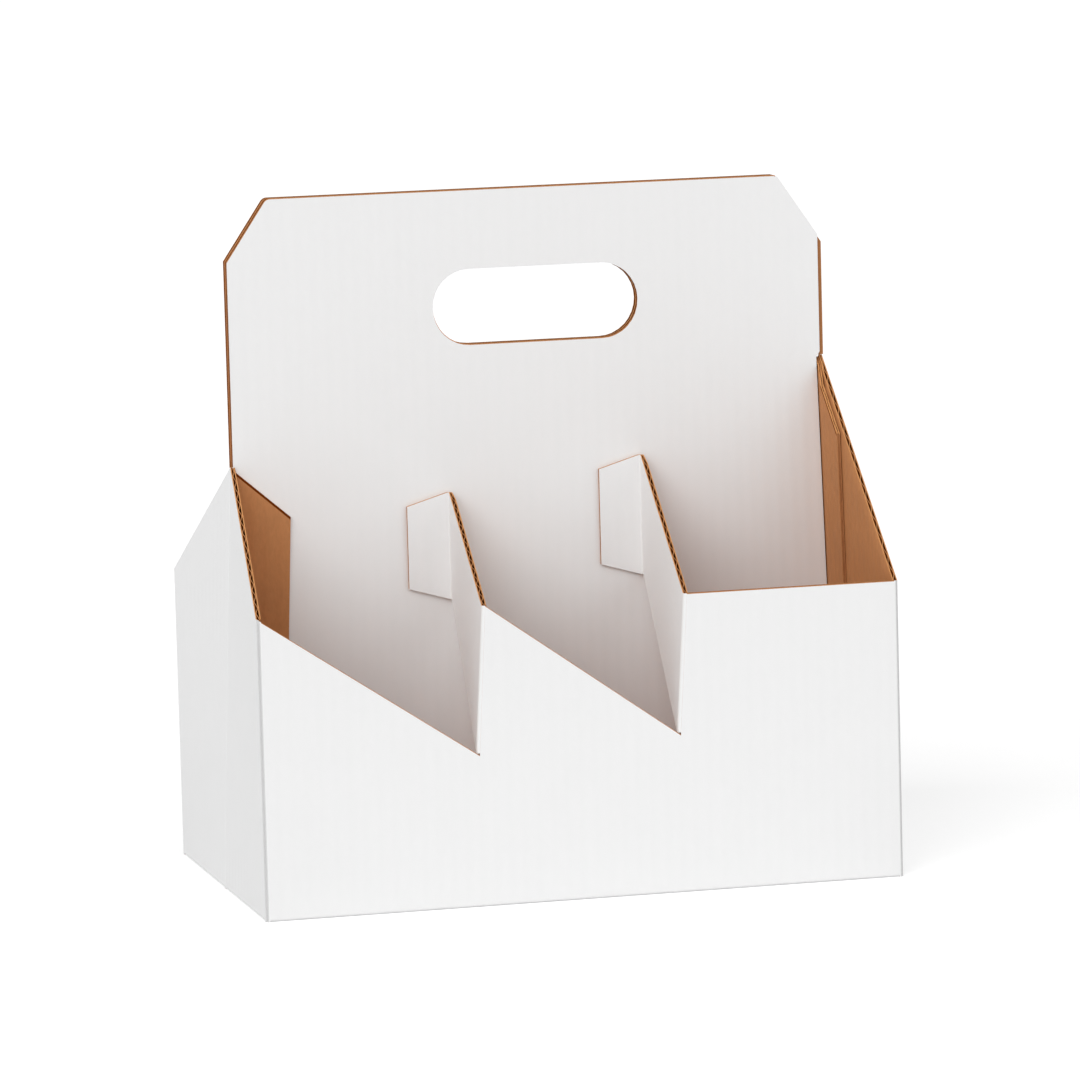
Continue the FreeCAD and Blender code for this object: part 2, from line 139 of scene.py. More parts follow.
class CarrierBodySettings(bpy.types.PropertyGroup):
    """Cuts and folds of the body."""
    corner_height: length("Corner height", "Top of the corners and the wall teeth", 0.121)
    left_peak: length("Left peak", "Peak of the left end wall", 0.172)
    right_peak: length("Right peak", "Peak of the right end wall", 0.205)
    left_lean: length("Left lean", "How far the left peak leans inwards", 0.0078)
    right_lean: length("Right lean", "How far the right peak leans inwards", 0.0055)
    first_notch: length("First notch", "Foot of the first divider's fold", 0.062)
    second_notch: length("Second notch", "Foot of the second divider's fold", 0.065)
    first_hinge: length("First hinge", "Top of the first fold, from the left side", 0.0913)
    second_hinge: length("Second hinge", "Top of the second fold, from the left side", 0.1743)
    hinge_lean: length("Hinge lean", "How far a fold's foot stands to the left", 0.0038)
    hinge_round: length("Hinge round", "Outside radius of a divider's fold", 0.0013)
    first_rise: length("First rise", "Rise of the first divider to the handle", 0.036)
    second_rise: length("Second rise", "Rise of the second divider", 0.047)
    first_drift: length("First drift", "Sideways run of the first divider", 0.0065)
    second_drift: length("Second drift", "Sideways run of the second divider", 0.0045)
    divider_tab: length("Divider tab", "Width of a divider's glue tab", 0.017)
    tab_taper: length("Tab taper", "Cut back of a tab's free edge at each end", 0.005)
    seam_tab: length("Seam tab", "Width of the tab that closes the left seam", 0.025)
    seam_slope: length("Seam slope", "Drop of that tab's top edge over its width", 0.021)
    minor_flap: length("End flap", "Reach of the end walls' bottom flaps", 0.060)


class CarrierHandleSettings(bpy.types.PropertyGroup):
    """The two plies of the handle panel."""
    left_edge: length("Left edge", "Left edge of the front ply over the left wall", 0.009)
    left_past: length("Left overhang", "How far the back ply shows past that edge", 0.0003)
    right_edge: length("Right edge", "Right edge of the front ply, from the left side", 0.2568)
    overhang: length("Overhang", "How far the back ply shows past the front one", 0.0023)
    fringe: length("Handle fringe", "Bare fibres over the handle and under its hole", 0.0004)
    foot: length("Foot", "Lower edge of both plies", 0.0064)
    shoulder: length("Shoulder", "Height of the shoulder over the right end wall", 0.2065)
    nick: length("Nick", "Height of the slanted nick under the shoulder", 0.0024)
    bevel_across: length("Bevel across", "Cut-off top corners, along the handle", 0.017)
    bevel_down: length("Bevel down", "Cut-off top corners, along the height", 0.025)
    bevel_round: length("Bevel round", "Rounding at both ends of each bevel", 0.003)
    slot_length: length("Hand hole length", "Hand hole over its round ends", 0.086)
    slot_height: length("Hand hole height", "Hand hole from bottom to top", 0.0306)
    slot_drop: length("Hand hole drop", "From the top edge down to the hand hole", 0.0324)
    slot_middle: length("Hand hole middle", "Middle of the hole, from the left side", 0.1367)
    wall_tab: length("Wall tab", "Reach of the back ply's tab on the right wall", 0.028)
    tab_lift: length("Tab lift", "How far that tab's top edge stands off the wall", 0.0004)


class CarrierColourSettings(bpy.types.PropertyGroup):
    """Papers of the board."""
    white: colour("White liner", "Bleached outer liner", (0.89, 0.89, 0.89))
    # grey of the painted shade along the corner folds
    painted_crease_shade: colour("Creased liner", "White liner rubbed grey on a fold", (0.68, 0.68, 0.68))
    brown: colour("Brown liner", "Unbleached inner liner", (0.51, 0.222, 0.085))
    # partly the fluted sheet's own brown, partly painted shade darkening the cavities between the
    # liners
    flute: colour("Fluting", "Fluted sheet between the liners", (0.15, 0.030, 0.003))
    cut: colour("Cut edge", "Cut edges of the liners", (0.65, 0.30, 0.11))


class CarrierStageSettings(bpy.types.PropertyGroup):
    """Floor, light and camera."""
    floor: colour("Floor", "Pale floor", (0.9, 0.9, 0.9))
    sky: bpy.props.FloatProperty(name="Sky", description="Strength of the even room light",
                                 default=0.5, min=0.0)
    key: bpy.props.FloatProperty(name="Key light", description="Strength of the front lamp",
                                 default=1.35, min=0.0)
    fill: bpy.props.FloatProperty(name="Fill light", description="Strength of the side lamp",
                                  default=0.55, min=0.0)
    lens: bpy.props.FloatProperty(name="Lens", description="Focal length of the camera in mm",
                                  default=228.89, min=1.0)
    distance: length("Distance", "From the camera to the point it aims at", 2.8103)
    yaw: bpy.props.FloatProperty(name="Yaw", description="How far the camera stands to the left",
                                 default=radians(14.2), unit="ROTATION", subtype="ANGLE")
    pitch: bpy.props.FloatProperty(name="Pitch", description="How far the camera looks down",
                                   default=radians(7.5), unit="ROTATION", subtype="ANGLE")
    roll: bpy.props.FloatProperty(name="Roll", description="Tilt of the camera",
                                  default=radians(-1.5), unit="ROTATION", subtype="ANGLE")


# ---- a sheet of board as stations along its developed width ----

def ramp(x, low, high):
    """0 below low, 1 above high, and straight between."""
    return min(1.0, max(0.0, (x - low) / (high - low)))


def along(points, x):
    """Height of a line through the points at x."""
    if x <= points[0][0]:
        return points[0][1]
    for (x0, z0), (x1, z1) in zip(points, points[1:]):
        if x <= x1:
            return z1 if x1 - x0 < 1e-9 else z0 + (z1 - z0) * (x - x0) / (x1 - x0)
    return points[-1][1]


def marks(start, stop, step, extra=()):
    """Places from start to stop at most a step apart, with the extra ones between them."""
    low, high = min(start, stop), max(start, stop)
    count = max(1, int((high - low) / step + 0.999))
    places = {round(low + (high - low) * i / count, 7) for i in range(count + 1)}
    places |= {round(x, 7) for x in extra if low < x < high}
    return sorted(places, reverse=stop < start)


def rounded(points, radius, corners):
    """The line with the listed corners rounded off."""
    line, steps = [], 5
    for i, (x, z) in enumerate(points):
        if i not in corners:
            line.append((x, z))
            continue
        here = Vector((x, z))
        a = (Vector(points[i - 1]) - here).normalized()
        b = (Vector(points[i + 1]) - here).normalized()
        half = a.angle(b) / 2
        reach = radius / tan(half)
        centre = here + (a + b).normalized() * (radius / sin(half))
        first, last = here + a * reach - centre, here + b * reach - centre
        turn = first.angle(last)
        for k in range(steps + 1):
            w0, w1 = sin(turn * (1 - k / steps)), sin(turn * k / steps)
            p = centre + (first * w0 + last * w1) / sin(turn)
            line.append((p.x, p.y))
    return line


def quarter(steps, first=0):
    """Angles of a quarter turn in equal steps."""
    return [pi / 2 * k / steps for k in range(first, steps + 1)]


class Station:
    """One upright line across the board.

    out is its place on the outer face at the foot, into the direction through the board,
    rows the heights of its points, near how close a height is to a cut edge, from 0 to 1,
    shift the sideways move along X at a height, and foot the profile below the wall.
    A bare station has a fringe of fibres at its cut edges. Where two stations flagged for crease
    shade meet, the white liner gets a grey strip of painted shade along the fold; where two
    flagged for top shadow meet, the top strip of the inner face gets the dark fluted-sheet colour
    as painted shadow. A free one is joined to the next only below the height in free.
    """

    def __init__(self, across, out, into, thick, rows, shift=None, foot=None, near=None):
        self.across = across
        self.out = out
        self.into = into
        self.thick = thick
        self.rows = rows
        self.shift = shift
        self.foot = foot
        self.near = near
        self.bare = False
        self.painted_crease_shade = False
        self.painted_top_shadow = False
        self.free = None

    def at(self, v, depth):
        d, z, nd, nz = self.foot(v) if self.foot else (0.0, v, 1.0, 0.0)
        inwards = d + depth * nd
        x = self.out[0] + self.into[0] * inwards + (self.shift(v) if self.shift else 0.0)
        return x, self.out[1] + self.into[1] * inwards, z + depth * nz

    def board(self, v, pressed):
        """Thickness at a height, where pressed is the least that a cut edge keeps."""
        share = min(1.0, max(0.0, self.near(v))) ** 2 if self.near else 0.0
        return self.thick - share * max(0.0, self.thick - pressed)


def spoke(angle):
    return Vector((cos(angle), sin(angle)))


def sharp_fold(corner, start, radius, across, thick, build):
    """Stations of a sharp right-angled fold, clockwise from the angle start.

    The outer face turns at the corner and the inner one a board's thickness inside it.
    """
    diagonal = spoke(start) + spoke(start - pi / 2)
    centre = Vector(corner) - diagonal * radius
    found = []
    for turn in quarter(4):
        arm = spoke(start - turn) * radius
        into = arm - diagonal * (thick + radius) + Vector(corner) - (centre + arm)
        found.append(build(across + turn * radius, centre + arm, into.normalized(),
                           into.length))
    return found


class SheetMesh:
    """Collects the solids of liners and fluting in one mesh."""

    def __init__(self):
        self.points, self.faces, self.kinds, self.uvs = [], [], [], []

    def layer(self, stations, low, high, kinds, gap=None, turned=False):
        """A closed skin between the depths low and high of every station.

        kinds are the materials of the outer face, the inner face, the cut edges, a fringe and
        a grey strip of painted shade along a corner fold; upright cut edges look like the brown
        liner. gap is the row of the hand hole, and turned gives the half-turn copy.
        """
        ids, spots = [], []
        for station in stations:
            column = []
            for k, v in enumerate(station.rows):
                if k and abs(v - station.rows[k - 1]) < 1e-7:
                    column.append(column[-1])
                else:
                    column.append(len(spots))
                    spots.append((station, v))
            ids.append(column)
        base = len(self.points)
        for depth in (low, high):
            for station, v in spots:
                x, y, z = station.at(v, depth(station, v))
                self.points.append((-x, -y, z) if turned else (x, y, z))
        count = len(spots)
        cells, edges = [], {}
        for i, (left, right) in enumerate(zip(ids, ids[1:])):
            here, following = stations[i:i + 2]
            for k in range(len(left) - 1):
                if k == gap or (here.free and here.rows[k] > here.free - STEP / 2):
                    continue
                ring = [left[k], right[k], right[k + 1], left[k + 1]]
                ring = [p for j, p in enumerate(ring) if p != ring[j - 1]]
                if len(set(ring)) < 3:
                    continue
                rim = k == len(left) - 2
                kind, inner = kinds[:2]
                if here.bare and following.bare and (rim or k + 1 == gap):
                    kind = kinds[3]
                # painted shade: a grey strip on the white liner along a corner fold
                elif here.painted_crease_shade and following.painted_crease_shade:
                    kind = kinds[4]
                # painted shadow: the top strip of the inner face takes the dark fluted-sheet
                # colour, in place of the shadow along a tab's top edge
                if rim and here.painted_top_shadow and following.painted_top_shadow:
                    inner = FLUTE_AND_SHADE
                cells.append((ring, kind, inner))
                for a, b in zip(ring, ring[1:] + ring[:1]):
                    if edges.pop((b, a), None) is None:
                        edges[(a, b)] = True
        for ring, kind, inner in cells:
            self.face([base + p for p in reversed(ring)], [spots[p] for p in reversed(ring)],
                      kind)
            self.face([base + count + p for p in ring], [spots[p] for p in ring], inner)
        for a, b in edges:
            self.face([base + a, base + b, base + count + b, base + count + a],
                      [spots[a], spots[b], spots[b], spots[a]],
                      BROWN if spots[a][0] is spots[b][0] else kinds[2])

    def face(self, corners, spots, kind):
        self.faces.append(corners)
        self.kinds.append(kind)
        self.uvs += [(station.across, v) for station, v in spots]

    def build(self, name, materials):
        mesh = bpy.data.meshes.new(name)
        mesh.from_pydata(self.points, [], self.faces)
        for material in materials:
            mesh.materials.append(material)
        mesh.polygons.foreach_set("material_index", self.kinds)
        layer = mesh.uv_layers.new(name="board")
        layer.data.foreach_set("uv", [c for uv in self.uvs for c in uv])
        mesh.validate()
        mesh.shade_smooth()
        mesh.set_sharp_from_angle(angle=SHARP)
        piece = bpy.data.objects.new(name, mesh)
        bpy.context.scene.collection.objects.link(piece)
        return piece


# the third finish is the fluted sheet's colour darkened as painted cavity shade, the fifth a grey
# strip of painted shade along the corner folds
WHITE, BROWN, FLUTE_AND_SHADE, CUT, PAINTED_CREASE_SHADE = range(5)


def board_layers(mesh, make, settings, pressed, gap=None, turned=False):
    """Both liners and the fluted sheet between them.

    make gives the stations for a step: far apart for the liners, close for the flutes.
    """
    liner, medium, pitch = settings.liner, settings.medium, settings.flute_pitch

    def wave(side):
        def depth(s, v):
            board = s.board(v, pressed)
            half = board / 2 - liner
            angle = 2 * pi * s.across / pitch
            room = half - medium / 2
            slope = room * 2 * pi / pitch * cos(angle)
            thin = min(medium / 2 * sqrt(1 + slope * slope), half)
            return board / 2 + room * sin(angle) + side * thin
        return depth

    skins, flutes = make(SKIN_STEP), make(pitch / FLUTE_STATIONS)
    mesh.layer(skins, lambda s, v: 0.0, lambda s, v: liner,
               (WHITE, FLUTE_AND_SHADE, CUT, BROWN, PAINTED_CREASE_SHADE), gap, turned)
    mesh.layer(skins, lambda s, v: s.board(v, pressed) - liner, lambda s, v: s.board(v, pressed),
               (FLUTE_AND_SHADE, BROWN, CUT, FLUTE_AND_SHADE, FLUTE_AND_SHADE), gap, turned)
    # the fluted sheet and the liner faces towards it take the dark finish that holds painted
    # cavity shade
    mesh.layer(flutes, wave(-1), wave(1), (FLUTE_AND_SHADE, FLUTE_AND_SHADE, BROWN, FLUTE_AND_SHADE, FLUTE_AND_SHADE), gap, turned)


# ---- the body: one strip from the front ply right round to the seam tab ----

def wall_foot(radius, climb):
    """Profile under a wall: the fold, then the flap, which climbs if climb is not 0."""
    level = radius - pi / 2 * radius

    def foot(v):
        if v >= radius:
            return 0.0, v, 1.0, 0.0
        if v > level:
            angle = (radius - v) / radius
            return (radius - radius * cos(angle), radius - radius * sin(angle),
                    cos(angle), sin(angle))
        run = level - v
        rise = climb * ramp(run, CLIMB_START, CLIMB_END)
        return radius + run, rise, 0.0, 1.0
    return foot


class BodyPlan:
    """Places that several panels share, and the panels' stations.

    b, s and h are the settings of the board, the body and the handle. The face heights are
    distances from the middle plane of the handle; seat is where the back ply's left edge
    comes over the left wall; fixed and back_fixed are heights where every station has points.
    """

    def __init__(self, scene):
        self.b = scene.carrier_board
        self.s = scene.carrier_body
        self.h = scene.carrier_handle
        b, s, h = self.b, self.s, self.h
        self.ply_face = b.board + b.glue / 2
        self.tab_face = self.ply_face + b.glue
        self.tab_open = self.tab_face + b.pinched
        self.slot_level = HANDLE_TOP - h.slot_drop - h.slot_height / 2
        self.level = b.base_round * (1 - pi / 2)
        arc = [b.base_round * (1 - turn) for turn in reversed(quarter(4))]
        self.long_foot = wall_foot(b.base_round, 0.0)
        self.end_foot = wall_foot(b.base_round, b.board + b.glue)
        self.nick = (h.shoulder - h.nick, h.shoulder)
        self.fixed = [self.level - CLIMB_END, self.level - CLIMB_START] + arc
        self.fixed += [s.first_notch - NOTCH_ROW, s.first_notch]
        self.seat = self.gable(-1, 1 - self.ply_face / HALF_DEPTH)[0]
        self.back_fixed = self.fixed + [self.seat, self.seat + STEP,
                                        s.right_peak, s.right_peak + STEP]
        self.fixed += [s.left_peak, s.left_peak + STEP, *self.nick]
        self.gap = len(self.fixed) + 2
        self.edge = b.pinched + b.seam_round + SIDE_GAP

    def rows(self, bottom, top, hole=None, fixed=None, fringe=None, rim=True):
        """Heights of a station's points: fixed ones, both sides of the hole, and the rim."""
        reach = self.b.press_reach
        middle = list(fixed or self.fixed) + list(hole or [self.slot_level] * 3)
        upper = [top] * 3
        if rim:
            upper = [top - reach, top - reach / 2, top - (fringe or self.b.fringe)]
        return [bottom] + [min(max(v, bottom), upper[0]) for v in middle] + upper + [top]

    def near_top(self, top):
        return lambda v: 1 - (top - v) / self.b.press_reach

    def hinges(self):
        """Foot, top and notch height of the folds of both dividers."""
        s = self.s
        return ((s.first_hinge - s.hinge_lean, s.first_hinge, s.first_notch),
                (s.second_hinge - s.hinge_lean, s.second_hinge, s.second_notch))

    def tooth_line(self):
        """Top edge of a long wall, from its left corner."""
        full, r = self.s.corner_height, self.s.hinge_round
        line, start = [(0.0, full)], 0.0
        for foot, hinge, notch in self.hinges():
            slope = (full - notch) / (foot - start)
            line += [(foot + r, notch - slope * r), (foot + r + STEP, notch),
                     (hinge + r, full)]
            start = hinge + r
        return line + [(2 * HALF_LENGTH, full)]

    def flap_bottom(self, x):
        """Free edge of a long flap as a height of the strip; x runs as on the front wall."""
        if abs(x) > FLAP_HALF + STEP / 2:
            return self.level
        reach = along(list(zip((-LOCK_HALF, LOCK_HALF), LOCK_REACH)), x)
        return self.level - (reach + HALF_DEPTH - self.b.base_round)

    def long_wall(self, side, step, across):
        """Front wall for side -1 and back wall for side 1, each from its own right corner."""
        b = self.b
        teeth = self.tooth_line()
        first, last = b.corner_round, 2 * HALF_LENGTH - b.corner_round
        extra = [x for x, z in teeth] + [first + b.press_reach, last - b.press_reach]
        extra += [HALF_LENGTH + sign * x for sign in (-1, 1)
                  for x in (LOCK_HALF, FLAP_HALF, FLAP_HALF + STEP)]
        extra += [hinge + k * b.press_reach / 2 for _, hinge, _ in self.hinges() for k in (1, 2)]
        found = []
        for place in marks(last, first, step, extra):
            x = side * (HALF_LENGTH - place)
            thick = self.corner_thick(min(place - first, last - place))
            top = along(teeth, place)
            rows = self.rows(self.flap_bottom(place - HALF_LENGTH), top)
            found.append(Station(across + last - place, (x, side * HALF_DEPTH), (0, -side),
                                 thick, rows, foot=self.long_foot,
                                 near=self.near_tooth(place, top)))
            found[-1].bare = True
        return found

    def near_tooth(self, place, top):
        """Nearness to the top edge of a long wall or to a divider's fold beside it."""
        full, reach = self.s.corner_height, self.b.press_reach

        def near(v):
            found = [1 - (top - v) / reach]
            for foot, hinge, notch in self.hinges():
                if v > notch - PRESS_BELOW and place > foot:
                    line = foot + (hinge - foot) * (v - notch) / (full - notch)
                    found.append(1 - abs(place - line) / reach)
            return max(found)
        return near

    def corner_thick(self, away):
        """Thickness at a distance from the start of a corner fold."""
        b = self.b
        return b.pressed + (b.board - b.pressed) * ramp(away, 0.0, b.press_reach)

    def corner(self, sx, sy, start, across):
        """A corner of the box, with the groove of its score line and the tooth line's end."""
        b = self.b
        teeth = self.tooth_line()
        centre = Vector((sx, sy)) * -b.corner_round + Vector((sx * HALF_LENGTH, sy * HALF_DEPTH))
        found = []
        # share of the turn painted grey as shade along the fold
        shaded = b.crease / (pi * b.corner_round)
        away = (0.0, GROOVE_MIDDLE, GROOVE_HALF, shaded, 0.4, 0.5)
        for turn in sorted({0.5 + side * x for side in (-1, 1) for x in away}):
            groove = b.corner_groove * max(0.0, 1 - abs(turn - 0.5) / GROOVE_HALF)
            arm = spoke(start - pi / 2 * turn)
            out = centre + arm * (b.corner_round - groove)
            top = along(teeth, HALF_LENGTH - sy * (centre + arm * b.corner_round).x)
            found.append(Station(across + pi / 2 * turn * b.corner_round, out, -arm,
                                 b.pressed - groove, self.rows(0.0, top)))
            found[-1].painted_crease_shade = abs(turn - 0.5) < shaded + STEP
        return found

    def gable(self, sx, share):
        """Height of an end wall's top edge at a share of the way up, and its lean there."""
        s = self.s
        lean, peak = (s.left_lean, s.left_peak) if sx < 0 else (s.right_lean, s.right_peak)
        top = s.corner_height + (peak - s.corner_height) * share
        return top, self.leaning(-sx * lean * share, top)

    def leaning(self, lean, top):
        return lambda v: lean * min(max(v, 0.0), top) / top

    def wall_thick(self, y):
        """Thickness of an end wall beside the score line in its middle."""
        b = self.b
        return b.pinched + (b.board - b.pinched) * ramp(abs(y), SCORE_HALF, SCORE_END)

    def end_wall(self, sx, start, stop, step, across, pinch, seam):
        """A stretch of an end wall from Y = start to Y = stop.

        pinch is where the score line lies and seam the half-width of the cut between flaps.
        """
        s, b = self.s, self.b
        reach = HALF_DEPTH - b.corner_round
        slot = HALF_DEPTH - b.board - FLAP_SET
        extra = [sign * y for sign in (-1, 1)
                 for y in (slot, slot + STEP, SCORE_HALF, SCORE_MARK, SCORE_END,
                           reach - b.press_reach)]
        extra += [0.0, pinch - seam, pinch + seam, pinch - seam - STEP, pinch + seam + STEP]
        found = []
        for y in marks(start, stop, step, extra):
            corner = copysign(reach, y - pinch)
            top, shift = self.gable(sx, ramp((corner - y) / (corner - pinch), 0.0, 1.0))
            thick = min(self.wall_thick(y), self.corner_thick(reach - abs(y)))
            flap = abs(y) < slot + STEP / 2 and abs(y - pinch) > seam + STEP / 2
            bottom = self.level - (s.minor_flap + b.board - b.base_round) if flap else self.level
            found.append(Station(across + abs(y - start), (sx * HALF_LENGTH, y), (-sx, 0),
                                 thick, self.rows(bottom, top), shift, self.end_foot,
                                 self.near_top(top)))
        return found

    def ply(self, step, overhangs, low_right, face, into, fold, seat, nick, fixed):
        """Stations of a ply from its right edge to its left one.

        overhangs are how far its left and right edges go past the front ply's, low_right the
        right edge at the foot, fold how far the left edge stands inside the left wall, seat
        the height from which it stands over that wall, and nick the heights between which
        the right edge steps out.
        """
        s, b, h = self.s, self.b, self.h
        before, past = overhangs
        left, right = h.left_edge - before - HALF_LENGTH, h.right_edge + past - HALF_LENGTH
        bevel = right - past - h.bevel_across
        outline = rounded([(left, HANDLE_TOP - h.bevel_down),
                           (left + h.bevel_across, HANDLE_TOP), (bevel, HANDLE_TOP),
                           (right, HANDLE_TOP - h.bevel_down * (1 + past / h.bevel_across))],
                          h.bevel_round, (1, 2))
        middle, end = h.slot_middle - HALF_LENGTH, h.slot_height / 2
        half = h.slot_length / 2
        extra = [p[0] for p in outline]
        extra += [middle + side * (half - end + end * sin(turn))
                  for side in (-1, 1) for turn in quarter(8)]
        found = []
        for x in marks(right, left, step, extra):
            to_left, to_right = 1 - ramp(x, left, left + BEND), ramp(x, right - BEND, right)
            beyond = max(0.0, abs(x - middle) - (half - end))
            rise = sqrt(max(0.0, end * end - beyond * beyond))
            low = rise + h.fringe * min(1.0, rise / end * 4)
            hole = [self.slot_level + z for z in (-low, -rise, rise)]
            rows = self.rows(h.foot, along(outline, x), hole, fixed, h.fringe)

            def shift(v, to_left=to_left, to_right=to_right):
                lean = along([(0.0, h.left_edge - before), (seat, h.left_edge - before
                                                            - s.left_lean * seat / s.left_peak),
                              (seat + STEP, fold)], v)
                low = along([(0.0, low_right), (nick[0], low_right - s.right_lean
                                                * nick[0] / s.right_peak), (nick[1], right)], v)
                return to_left * (fold - lean) + to_right * (low - right)
            found.append(Station(right - x, (x, face), (0, into), b.board, rows, shift))
            found[-1].bare = x < bevel + STEP
        return found

    def strip(self, step):
        """The whole body blank as one list of stations, from the front ply to the seam tab."""
        s, b, h = self.s, self.b, self.h
        low_right = HALF_LENGTH - (2 * b.pinched + b.glue + SIDE_GAP)
        found = self.ply(step, (0.0, 0.0), low_right, -self.ply_face, 1, self.edge,
                         s.left_peak, self.nick, self.fixed)
        found[-1].free = s.left_peak
        lean = self.leaning(s.left_lean, s.left_peak)

        def fold(across, out, into, thick):
            return Station(across, out, into, thick,
                           self.rows(FOLD_FOOT, s.left_peak, rim=False), lean)

        def reached():
            return found[-1].across

        found += sharp_fold((-HALF_LENGTH, -self.ply_face), -pi / 2, b.seam_round,
                            reached() + self.edge - b.seam_round, b.pinched, fold)
        found += self.end_wall(-1, self.edge - self.ply_face, HALF_DEPTH - b.corner_round, step,
                               reached() + self.edge - b.seam_round, -self.ply_face, self.edge)
        found += self.corner(-1, 1, pi, reached())
        found += self.long_wall(1, step, reached())
        found += self.corner(1, 1, pi / 2, reached())
        found += self.end_wall(1, HALF_DEPTH - b.corner_round, b.corner_round - HALF_DEPTH,
                               step, reached(), 0.0, FLAP_CUT)
        found += self.corner(1, -1, 0.0, reached())
        found += self.long_wall(-1, step, reached())
        found += self.corner(-1, -1, -pi / 2, reached())
        found += self.end_wall(-1, b.corner_round - HALF_DEPTH, -self.tab_face - self.edge, step,
                               reached(), -self.tab_face, self.edge)
        found += sharp_fold((-HALF_LENGTH, -self.tab_face), pi, b.seam_round,
                            reached() + self.edge - b.seam_round, b.pinched, fold)
        across = reached() - b.seam_round
        for d in marks(self.edge, s.seam_tab, step):
            share = d / s.seam_tab
            rows = self.rows(TAB_FOOT + s.seam_slope / 2 * share,
                             s.left_peak - SEAM_DROP - s.seam_slope * share, fringe=b.painted_top_shadow)
            found.append(Station(across + d, (d - HALF_LENGTH, -self.tab_face), (0, -1),
                                 b.pinched, rows, lean))
            # the seam tab's top strip carries the painted shadow
            found[-1].painted_top_shadow = True
        return found

    def divider(self, step, foot, hinge, notch, rise, drift, slope_start):
        """A divider from its fold in the wall to the free edge of its tab."""
        s, b = self.s, self.b
        full, reach = s.corner_height, b.press_reach
        top_x, foot_x = hinge - HALF_LENGTH, foot - HALF_LENGTH
        end = top_x + drift
        slope = (full - notch) / (foot - slope_start)
        far = -self.tab_open
        low = notch + slope * (HALF_DEPTH - b.board - self.tab_open)
        high = full + rise
        r, inner = s.hinge_round, INNER_ROUND
        found = []

        def station(across, x0, x1, y, into, thick, z0, z1):
            rows = [z0, z0 + reach / 2, z0 + reach, z1 - reach, z1 - reach / 2,
                    z1 - b.fringe, z1]
            found.append(Station(across, (x0, y), into, thick, rows,
                                 lambda v: (x1 - x0) * (v - z0) / (z1 - z0),
                                 near=lambda v: 1 - min(v - z0, z1 - v) / reach))

        for turn in quarter(5):
            arm = spoke(turn)
            station(r * turn, foot_x + r * (1 - arm.y), top_x + r * (1 - arm.y),
                    -HALF_DEPTH + r * (1 - arm.x), (arm.y, arm.x), b.pressed, notch, full)
        across = found[-1].across
        start = r - HALF_DEPTH
        stop = far - inner
        for y in marks(start, stop, step, (start + FOLD_MARK, stop - PINCH_RUN)):
            share = (y - start) / (stop - start)
            thick = min(self.corner_thick(y - start), b.pinched + (b.board - b.pinched)
                        * ramp(stop - y, 0.0, PINCH_RUN))
            station(across + y - start, foot_x + (end - foot_x) * share,
                    top_x + (end - top_x) * share, y, (1, 0), thick,
                    notch + (low - notch) * share, full + (high - full) * share)
        across = found[-1].across
        for turn in quarter(4, 1):
            arm = spoke(turn)
            x, y = end - inner + inner * arm.x, stop + inner * arm.y
            station(across + inner * turn, x, x, y, (arm.x, arm.y), b.pinched, low, high)
        across = found[-1].across
        for d in marks(0.0, s.divider_tab, step):
            taper = s.tab_taper * d / s.divider_tab
            station(across + d, end - inner - d, end - inner - d, far, (0, 1), b.pinched,
                    low + taper, high - taper)
        return found

    def dividers(self):
        s = self.s
        first, second = self.hinges()
        return (lambda step: self.divider(step, *first, s.first_rise, s.first_drift, 0.0),
                lambda step: self.divider(step, *second, s.second_rise, s.second_drift,
                                          s.first_hinge))

    def back_ply(self, step):
        """The back ply with its tab, from the ply's left edge to the tab's free edge."""
        s, b, h = self.s, self.b, self.h
        found = []
        reach = HALF_DEPTH - b.corner_round
        stop = self.ply_face - TAB_ROUND

        def station(across, y, out, into):
            top, shift = self.gable(1, ramp(reach + min(y, 0.0), 0.0, reach))
            low = TAB_FOOT + s.seam_slope / 2 * ramp(-y, -self.ply_face, h.wall_tab)
            lift = h.tab_lift * ramp(-y, 0.0, SCORE_END)
            flat = y < stop
            rows = self.rows(low, top - TAB_DROP, fixed=self.back_fixed, fringe=b.painted_top_shadow,
                             rim=flat)
            found.append(Station(across, out, into, b.pinched, rows,
                                 lambda v: shift(v) - lift * ramp(v, top - LIFT_RUN, top)))
            # the wall tab's top strip carries the painted shadow
            found[-1].painted_top_shadow = flat

        for y in marks(-h.wall_tab, stop, step, (-SCORE_END, -SCORE_HALF, 0.0)):
            x = HALF_LENGTH - self.wall_thick(min(y, 0.0)) - b.glue
            station(y + h.wall_tab, y, (x, y), (-1, 0))
        across = found[-1].across
        centre = Vector((HALF_LENGTH - b.pinched - b.glue - TAB_ROUND, stop))
        for turn in quarter(5, 1):
            arm = spoke(turn)
            station(across + TAB_ROUND * turn, stop, centre + arm * TAB_ROUND, -arm)
        across = found[-1].across
        plate = self.ply(step, (h.left_past, h.overhang), centre.x, self.ply_face, -1,
                         b.pinched + SIDE_GAP, self.seat,
                         (s.right_peak, s.right_peak + STEP), self.back_fixed)
        plate[0].free = s.right_peak
        for item in plate:
            item.across += across
        return (found + plate)[::-1]


# ---- materials ----

